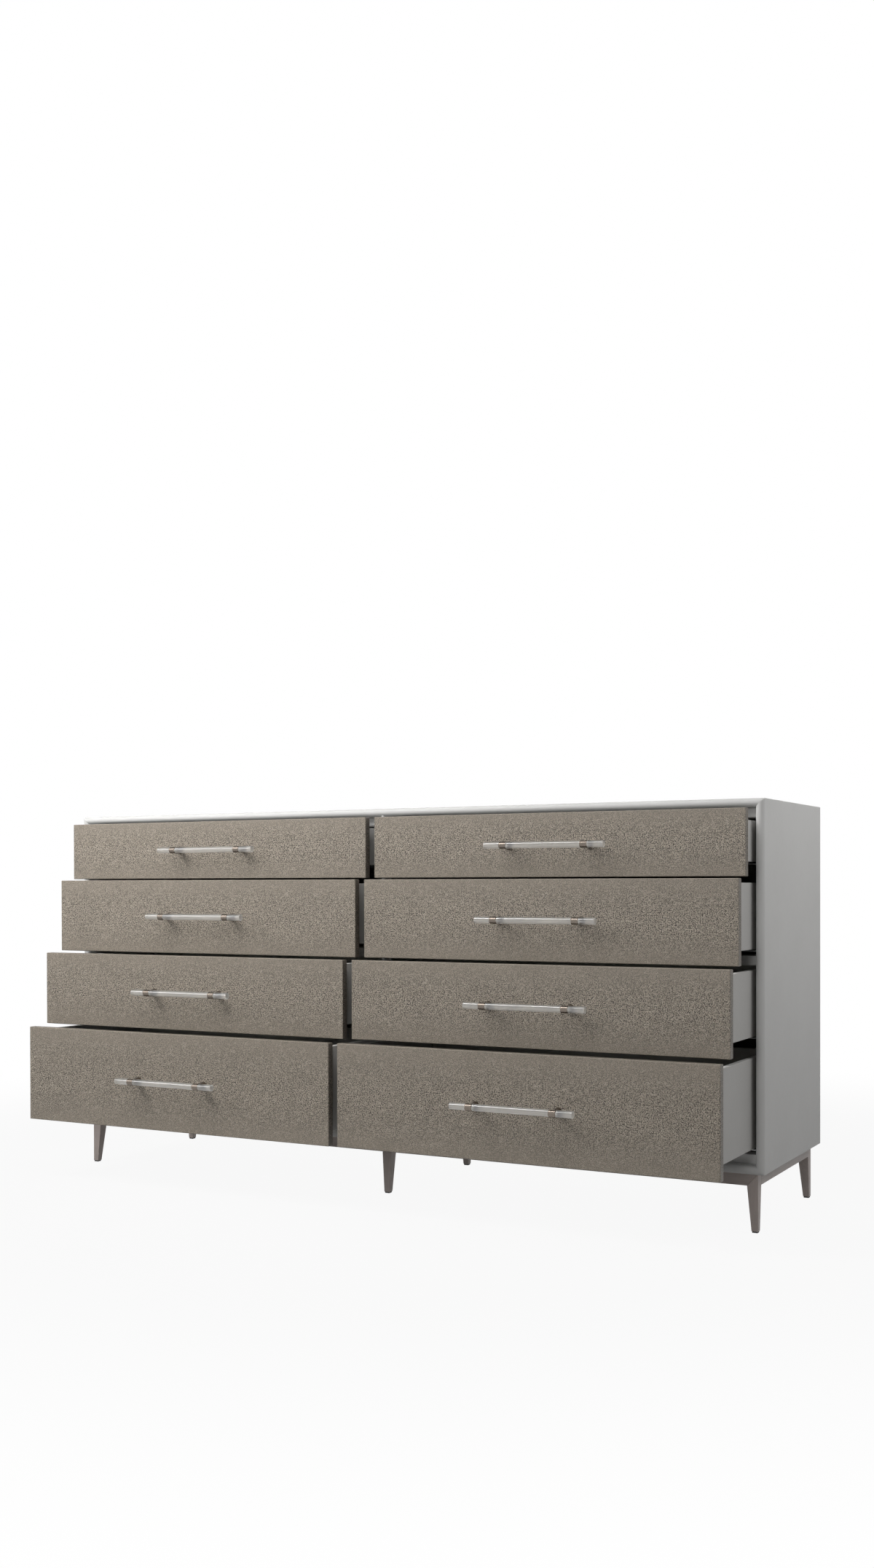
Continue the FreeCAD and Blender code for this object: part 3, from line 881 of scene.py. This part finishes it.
def add_screw(bm, spot, out, sizes):
    """A low round screw head with a sunk drive, on a face that looks along out."""
    turn = out.to_track_quat("Z", "Y").to_matrix().to_4x4()
    raised = Matrix.Translation(spot + out * sizes.screw_height / 2)
    foot = sizes.screw_radius
    made = bmesh.ops.create_cone(bm, cap_ends=True, cap_tris=False, segments=SCREW_STEPS, radius1=foot,
                                 radius2=foot * sizes.screw_top_share, depth=sizes.screw_height,
                                 matrix=raised @ turn)
    faces = {face for vert in made["verts"] for face in vert.link_faces}
    top = max(faces, key=lambda face: face.calc_center_median().dot(out))
    bmesh.ops.inset_region(bm, faces=[top], thickness=foot * sizes.drive_wall_share)
    bmesh.ops.translate(bm, verts=top.verts, vec=out * -sizes.drive_depth_share * sizes.screw_height)


class DRESSER_OT_screws(bpy.types.Operator):
    """Make the heads of the screws that hold the back"""
    bl_idname = "dresser.screws"
    bl_label = "Screws"

    def execute(self, context):
        sizes = settings().sizes
        low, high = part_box("back_panel")
        margin = 2 * sizes.screw_radius
        columns = math.ceil((high.x - low.x) / sizes.screw_spacing)
        rows = math.ceil((high.z - low.z) / sizes.screw_spacing)
        out = Vector((0, 1, 0))
        bm = bmesh.new()
        for column in range(columns + 1):
            x = low.x + margin + column / columns * (high.x - low.x - 2 * margin)
            on_post = column in (0, columns // 2, columns)
            for row in range(rows + 1):
                z = low.z + margin + row / rows * (high.z - low.z - 2 * margin)
                if on_post or row in (0, rows):
                    add_screw(bm, Vector((x, high.y, z)), out, sizes)
        new_piece(bm, "back_screws", "case", finish(slide_zinc))
        return {"FINISHED"}


def aim(spot, target):
    """A turn that points a lamp from one place to another."""
    return (target - spot).to_track_quat("-Z", "Y").to_euler()


def add_lamp(name, spot, target, watts, width, depth):
    """A soft lamp that is felt and not seen."""
    light = bpy.data.lights.new(name, "AREA")
    light.energy = watts
    light.shape = "RECTANGLE"
    light.size = width
    light.size_y = depth
    lamp = bpy.data.objects.new(name, light)
    lamp.location = spot
    lamp.rotation_euler = aim(Vector(spot), target)
    lamp.visible_camera = False
    lamp.visible_transmission = False
    bpy.context.scene.collection.objects.link(lamp)
    return lamp


def seen(tree):
    """Whether a ray is one that shows the background: straight, mirrored or through something clear."""
    path = node(tree, "ShaderNodeLightPath").outputs
    shown = maths(tree, "MAXIMUM", path["Is Camera Ray"], path["Is Glossy Ray"])
    return maths(tree, "MAXIMUM", shown, path["Is Transmission Ray"])


def floor_finish(stage, rgb):
    """White floor that keeps a share of the shadow, and fades into the white around it."""
    made = bpy.data.materials.new("studio_floor")
    made.use_nodes = True
    tree = made.node_tree
    tree.nodes.clear()
    white = node(tree, "ShaderNodeEmission", {"Color": WHITE, "Strength": 1.0}).outputs[0]
    felt = node(tree, "ShaderNodeBsdfDiffuse", {"Color": opaque(rgb)}).outputs[0]
    far = node(tree, "ShaderNodeVectorMath", {0: object_place(tree)}, operation="LENGTH").outputs["Value"]
    kept = spread(tree, far, stage.shadow_near, stage.shadow_far, stage.shadow_share, 0.0)
    shown = node(tree, "ShaderNodeMixShader", {0: kept, 1: white, 2: felt}).outputs[0]
    both = node(tree, "ShaderNodeMixShader", {0: seen(tree), 1: felt, 2: shown}).outputs[0]
    node(tree, "ShaderNodeOutputMaterial", {"Surface": both})
    return made


class DRESSER_OT_stage(bpy.types.Operator):
    """Set the floor, the surroundings, the lamps and the camera"""
    bl_idname = "dresser.stage"
    bl_label = "Stage"

    def execute(self, context):
        stage, scene = settings().stage, context.scene
        scene.view_settings.view_transform = "Standard"
        bm = bmesh.new()
        bmesh.ops.create_grid(bm, x_segments=1, y_segments=1, size=stage.floor_reach,
                              matrix=Matrix.Translation((0, 0, -stage.floor_gap)))
        mesh = bpy.data.meshes.new("floor")
        bm.to_mesh(mesh)
        bm.free()
        mesh.materials.append(floor_finish(stage, settings().colours.floor))
        floor = bpy.data.objects.new("floor", mesh)
        scene.collection.objects.link(floor)
        scene.world = bpy.data.worlds.new("studio")
        scene.world.use_nodes = True
        tree = scene.world.node_tree
        towards = node(tree, "ShaderNodeTexCoord").outputs["Generated"]
        upward = node(tree, "ShaderNodeSeparateXYZ", {0: towards}).outputs[2]
        ceiling_shares = stage.ceiling_start_share, stage.ceiling_whole_share
        overhead = spread(tree, upward, *ceiling_shares, 1.0, stage.ceiling)
        straight = node(tree, "ShaderNodeLightPath").outputs["Is Camera Ray"]
        strength = between(tree, seen(tree), stage.sky, maths(tree, "MAXIMUM", straight, overhead))
        tree.nodes["Background"].inputs["Color"].default_value = WHITE
        tree.links.new(strength, tree.nodes["Background"].inputs["Strength"])
        middle = sum(cad_box, Vector()) / 2
        below = Vector((stage.top[0], middle.y, middle.z))
        key = add_lamp("key_lamp", stage.key, middle, stage.key_power, stage.key_size, stage.key_height)
        key.visible_glossy = False
        card = add_lamp("key_card", stage.key, middle, stage.card_power, stage.card_width,
                        stage.card_height)
        card.visible_diffuse = False
        add_lamp("top_lamp", stage.top, below, stage.top_power, stage.top_size, stage.top_depth)
        add_lamp("side_lamp", stage.side, middle, stage.side_power, stage.side_size, stage.side_size)
        add_lamp("fill_lamp", stage.fill, middle, stage.fill_power, stage.fill_size, stage.fill_size)
        add_lamp("back_lamp", stage.back, middle, stage.back_power, stage.back_size, stage.back_size)
        eye = bpy.data.cameras.new("camera")
        eye.lens = stage.lens
        eye.shift_y = stage.rise_share
        camera = bpy.data.objects.new("camera", eye)
        camera.location = stage.camera
        camera.rotation_euler = stage.camera_turn
        scene.collection.objects.link(camera)
        scene.camera = camera
        return {"FINISHED"}


class Dresser(bpy.types.PropertyGroup):
    """All that a user may change on the dresser"""
    sizes: PointerProperty(type=DresserSizes)
    grain: PointerProperty(type=DresserGrain)
    colours: PointerProperty(type=DresserColours)
    stage: PointerProperty(type=DresserStage)


OPERATORS = (DRESSER_OT_case, DRESSER_OT_inside, DRESSER_OT_base, DRESSER_OT_slides, DRESSER_OT_fronts,
             DRESSER_OT_boxes, DRESSER_OT_pulls, DRESSER_OT_screws, DRESSER_OT_stage)


class DRESSER_PT_panel(bpy.types.Panel):
    """The dresser's pieces, sizes and colours"""
    bl_idname = "DRESSER_PT_panel"
    bl_label = "Double Dresser"
    bl_space_type = "VIEW_3D"
    bl_region_type = "UI"
    bl_category = "Dresser"

    def draw(self, context):
        for operator in OPERATORS:
            self.layout.operator(operator.bl_idname)
        for group in ("sizes", "grain", "colours", "stage"):
            values = getattr(context.scene.dresser, group)
            box = self.layout.box()
            box.label(text=group.capitalize())
            for value in values.__annotations__:
                box.prop(values, value)


CLASSES = (DresserSizes, DresserGrain, DresserColours, DresserStage, Dresser, *OPERATORS, DRESSER_PT_panel)


def register():
    """Registers the classes and puts the settings on the scene."""
    for kind in CLASSES:
        bpy.utils.register_class(kind)
    bpy.types.Scene.dresser = PointerProperty(type=Dresser)


def unregister():
    """Takes the settings and the classes away again."""
    del bpy.types.Scene.dresser
    for kind in reversed(CLASSES):
        bpy.utils.unregister_class(kind)


def main():
    """Builds the dresser on its stage."""
    register()
    bpy.ops.dresser.case()
    bpy.ops.dresser.inside()
    bpy.ops.dresser.base()
    bpy.ops.dresser.slides()
    bpy.ops.dresser.fronts()
    bpy.ops.dresser.boxes()
    bpy.ops.dresser.pulls()
    bpy.ops.dresser.screws()
    bpy.ops.dresser.stage()


if __name__ == "__main__":
    main()
